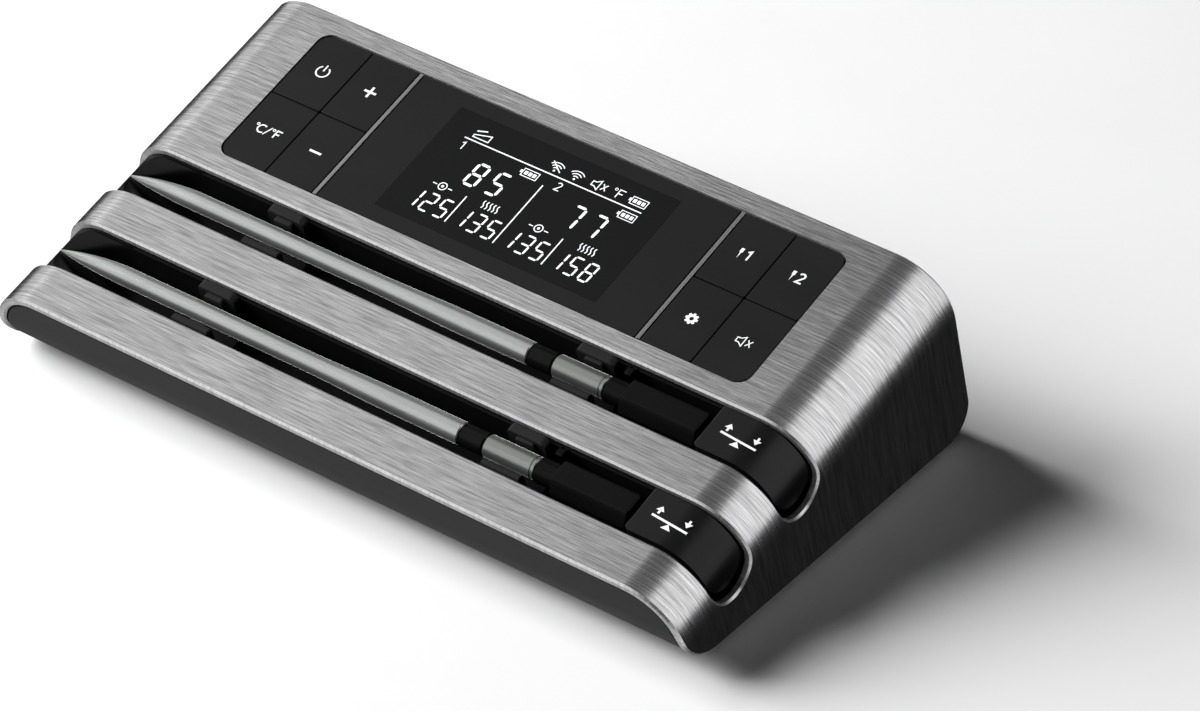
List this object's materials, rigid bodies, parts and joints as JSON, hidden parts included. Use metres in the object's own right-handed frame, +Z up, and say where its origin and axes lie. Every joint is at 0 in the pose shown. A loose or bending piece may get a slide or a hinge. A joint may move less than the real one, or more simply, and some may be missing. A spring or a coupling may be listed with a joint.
{
  "type": "meat thermometer dock",
  "caption": "Countertop meat thermometer base with a sloped control panel and display, and round-bottomed slots in which wireless steel probes lie, with end keys that rock them up.",
  "frame": {"origin": "centre of the footprint, on the ground under the feet", "axes": "+X along the long side, to the right as seen from the front; -Y towards the front; +Z up"},
  "size_m": [0.186, 0.1089, 0.0491],
  "materials": {
    "brushed_steel": "fine grain along the length",
    "probe_steel": "satin",
    "screw_steel": "plain",
    "spring_steel": "drawn wire",
    "silver_trim": "satin",
    "contact_plate": "black nickel plated",
    "dark_plastic": "satin dark grey",
    "black_plastic": "fine texture",
    "key_plastic": "satin, printed symbols",
    "handle_plastic": "heat proof, satin",
    "band_ceramic": "satin black",
    "display": "smoked, satin gloss",
    "black_rubber": "matt",
    "silicone": "matt",
    "board": "solder resist",
    "cell_wrap": "shrink wrap",
    "white_print": "printed symbols",
    "lit_segments": "lit display segments",
    "display_window": "darker window"
  },
  "bodies": {
    "dock": {"base_cover": "dark_plastic", "base_screw_1": "screw_steel", "base_screw_2": "screw_steel", "base_screw_3": "screw_steel", "base_screw_4": "screw_steel", "battery_cell": "cell_wrap", "board_screw_1": "screw_steel", "board_screw_2": "screw_steel", "board_screw_3": "screw_steel", "board_screw_4": "screw_steel", "buzzer": "black_plastic", "charge_contact_front": "contact_plate", "charge_contact_rear": "contact_plate", "clip_front_left": "black_rubber", "clip_front_right": "black_rubber", "clip_rear_left": "black_rubber", "clip_rear_right": "black_rubber", "display_gasket": "black_rubber", "display_lens": "display", "divider_left": "silver_trim", "divider_right": "silver_trim", "foot_1": "black_rubber", "foot_2": "black_rubber", "foot_3": "black_rubber", "foot_4": "black_rubber", "front_cover": "dark_plastic", "inner_frame": "black_plastic", "keypad_mat_left": "silicone", "keypad_mat_right": "silicone", "lcd_module": "display", "main_board": "board", "press_pin_front": "screw_steel", "press_pin_rear": "screw_steel", "press_spring_front": "spring_steel", "press_spring_rear": "spring_steel", "rear_cover": "dark_plastic", "steel_shell": "brushed_steel", "tray_front": "black_plastic", "tray_rear": "black_plastic", "usb_socket": "brushed_steel"},
    "key_power": {"key_power": "key_plastic"},
    "key_plus": {"key_plus": "key_plastic"},
    "key_units": {"key_units": "key_plastic"},
    "key_minus": {"key_minus": "key_plastic"},
    "key_probe_one": {"key_probe_one": "key_plastic"},
    "key_probe_two": {"key_probe_two": "key_plastic"},
    "key_settings": {"key_settings": "key_plastic"},
    "key_mute": {"key_mute": "key_plastic"},
    "press_key_rear": {"press_key_rear": "key_plastic"},
    "probe_rear": {"probe_rear_band": "band_ceramic", "probe_rear_collar": "probe_steel", "probe_rear_handle": "handle_plastic", "probe_rear_needle": "probe_steel"},
    "press_key_front": {"press_key_front": "key_plastic"},
    "probe_front": {"probe_front_band": "band_ceramic", "probe_front_collar": "probe_steel", "probe_front_handle": "handle_plastic", "probe_front_needle": "probe_steel"}
  },
  "joints": [
    {"name": "key_power_press", "type": "slide", "parent": "dock", "child": "key_power", "axis": [0, 0.2807, -0.9598], "range_m": [0, 0.0005], "stiffness_N_per_m": 1500, "springref_m": -0.0002},
    {"name": "key_plus_press", "type": "slide", "parent": "dock", "child": "key_plus", "axis": [0, 0.2807, -0.9598], "range_m": [0, 0.0005], "stiffness_N_per_m": 1500, "springref_m": -0.0002},
    {"name": "key_units_press", "type": "slide", "parent": "dock", "child": "key_units", "axis": [0, 0.2807, -0.9598], "range_m": [0, 0.0005], "stiffness_N_per_m": 1500, "springref_m": -0.0002},
    {"name": "key_minus_press", "type": "slide", "parent": "dock", "child": "key_minus", "axis": [0, 0.2807, -0.9598], "range_m": [0, 0.0005], "stiffness_N_per_m": 1500, "springref_m": -0.0002},
    {"name": "key_probe_one_press", "type": "slide", "parent": "dock", "child": "key_probe_one", "axis": [0, 0.2807, -0.9598], "range_m": [0, 0.0005], "stiffness_N_per_m": 1500, "springref_m": -0.0002},
    {"name": "key_probe_two_press", "type": "slide", "parent": "dock", "child": "key_probe_two", "axis": [0, 0.2807, -0.9598], "range_m": [0, 0.0005], "stiffness_N_per_m": 1500, "springref_m": -0.0002},
    {"name": "key_settings_press", "type": "slide", "parent": "dock", "child": "key_settings", "axis": [0, 0.2807, -0.9598], "range_m": [0, 0.0005], "stiffness_N_per_m": 1500, "springref_m": -0.0002},
    {"name": "key_mute_press", "type": "slide", "parent": "dock", "child": "key_mute", "axis": [0, 0.2807, -0.9598], "range_m": [0, 0.0005], "stiffness_N_per_m": 1500, "springref_m": -0.0002},
    {"name": "press_key_rear_rock", "type": "hinge", "parent": "dock", "child": "press_key_rear", "pos_m": [0.074, -0.0106, 0.02412], "axis": [0, 0.9598, 0.2807], "range_deg": [0, 4], "stiffness_Nm_per_rad": 0.6, "springref_deg": -3.44, "deforming": ["press_spring_rear"]},
    {"name": "probe_rear_lift", "type": "slide", "parent": "dock", "child": "probe_rear", "axis": [0, -0.2807, 0.9598], "range_m": [0, 0.06]},
    {"name": "press_key_front_rock", "type": "hinge", "parent": "dock", "child": "press_key_front", "pos_m": [0.074, -0.03446, 0.01714], "axis": [0, 0.9598, 0.2807], "range_deg": [0, 4], "stiffness_Nm_per_rad": 0.6, "springref_deg": -3.44, "deforming": ["press_spring_front"]},
    {"name": "probe_front_lift", "type": "slide", "parent": "dock", "child": "probe_front", "axis": [0, -0.2807, 0.9598], "range_m": [0, 0.06]}
  ]
}
